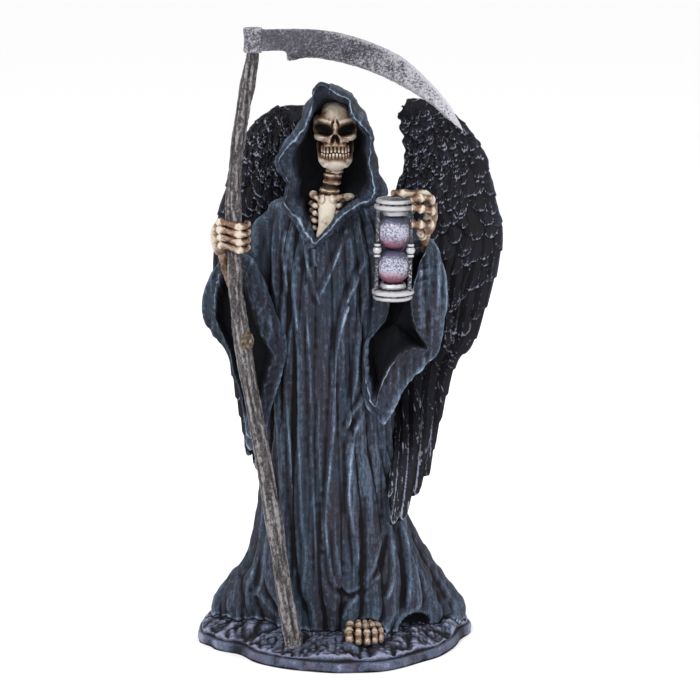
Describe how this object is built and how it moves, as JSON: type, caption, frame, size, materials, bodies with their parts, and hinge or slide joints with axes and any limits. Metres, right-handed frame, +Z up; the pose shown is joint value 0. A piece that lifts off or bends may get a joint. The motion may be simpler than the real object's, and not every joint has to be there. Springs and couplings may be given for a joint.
{
  "type": "grim reaper figurine",
  "caption": "Standing robed skeleton with folded wings, a scythe in one hand and an hourglass in the other, on a round rock base.",
  "frame": {"origin": "on the underside of the base, under the middle of the footprint", "axes": "+Z up, the figure faces -Y, +X to its left"},
  "size_m": [0.1486, 0.1164, 0.3],
  "materials": {
    "figure_paint": "cast resin, dark slate blue paint with pale dry-brushed edges",
    "scythe_paint": "cast resin, grey-brown bark paint and dull silver blade",
    "hourglass_silver": "cast resin, worn silver paint with pearl and pink bulbs",
    "wing_paint": "cast resin, satin black paint with grey-blue dry-brushed feather edges"
  },
  "bodies": {
    "root": {"figure": "figure_paint", "scythe": "scythe_paint", "hourglass": "hourglass_silver", "left_wing": "wing_paint", "right_wing": "wing_paint"}
  },
  "joints": []
}
